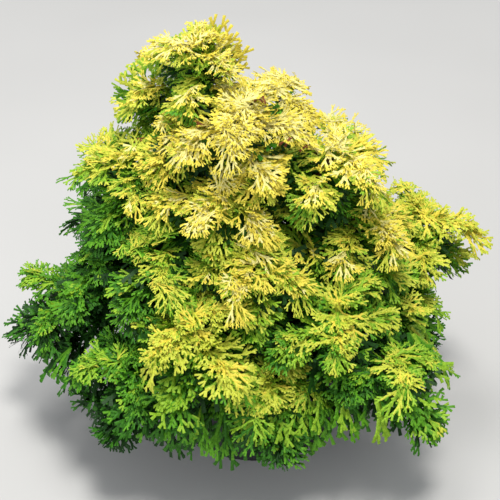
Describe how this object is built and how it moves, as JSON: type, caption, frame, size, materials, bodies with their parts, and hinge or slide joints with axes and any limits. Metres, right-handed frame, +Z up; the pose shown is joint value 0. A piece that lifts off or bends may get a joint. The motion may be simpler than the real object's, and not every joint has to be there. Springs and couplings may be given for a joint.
{
  "type": "potted nana aurea hinoki cypress",
  "caption": "Dwarf golden hinoki cypress in a plain dark pot: a leaning cone of cupped, overlapping fan sprays, gold at the top and green below.",
  "frame": {"origin": "middle of the pot's flat underside", "axes": "+Z up, -Y towards the front that the picture shows, -X the side that the tip leans to"},
  "size_m": [0.34, 0.2567, 0.308],
  "materials": {
    "pot": "matte charcoal",
    "soil": "damp dark potting mix",
    "bark": "fibrous red-brown bark",
    "foliage_gold": "golden yellow scale foliage",
    "foliage_lime": "lime green scale foliage",
    "foliage_green": "green scale foliage"
  },
  "bodies": {
    "root": {"pot": "pot", "soil": "soil", "trunk": "bark", "bough_skirt_0": "bark", "bough_skirt_1": "bark", "bough_skirt_2": "bark", "bough_skirt_3": "bark", "bough_skirt_4": "bark", "bough_skirt_5": "bark", "bough_skirt_6": "bark", "bough_skirt_7": "bark", "bough_low_0": "bark", "bough_low_1": "bark", "bough_low_2": "bark", "bough_low_3": "bark", "bough_low_4": "bark", "bough_low_5": "bark", "bough_middle_0": "bark", "bough_middle_1": "bark", "bough_middle_2": "bark", "bough_middle_3": "bark", "bough_middle_4": "bark", "bough_middle_5": "bark", "bough_high_0": "bark", "bough_high_1": "bark", "bough_high_2": "bark", "bough_high_3": "bark", "bough_high_4": "bark", "foliage_skirt_0": "foliage_green", "foliage_skirt_1": "foliage_green", "foliage_skirt_2": "foliage_green", "foliage_skirt_3": "foliage_green", "foliage_skirt_4": "foliage_green", "foliage_skirt_5": "foliage_green", "foliage_skirt_6": "foliage_green", "foliage_skirt_7": "foliage_green", "foliage_low_0": "foliage_lime", "foliage_low_1": "foliage_lime", "foliage_low_2": "foliage_lime", "foliage_low_3": "foliage_lime", "foliage_low_4": "foliage_lime", "foliage_low_5": "foliage_lime", "foliage_middle_0": "foliage_lime", "foliage_middle_1": "foliage_lime", "foliage_middle_2": "foliage_lime", "foliage_middle_3": "foliage_lime", "foliage_middle_4": "foliage_lime", "foliage_middle_5": "foliage_lime", "foliage_high_0": "foliage_gold", "foliage_high_1": "foliage_gold", "foliage_high_2": "foliage_gold", "foliage_high_3": "foliage_gold", "foliage_high_4": "foliage_gold", "foliage_upper_0": "foliage_gold", "foliage_upper_1": "foliage_gold", "foliage_upper_2": "foliage_gold", "foliage_upper_3": "foliage_gold", "foliage_crest_0": "foliage_gold"}
  },
  "joints": []
}
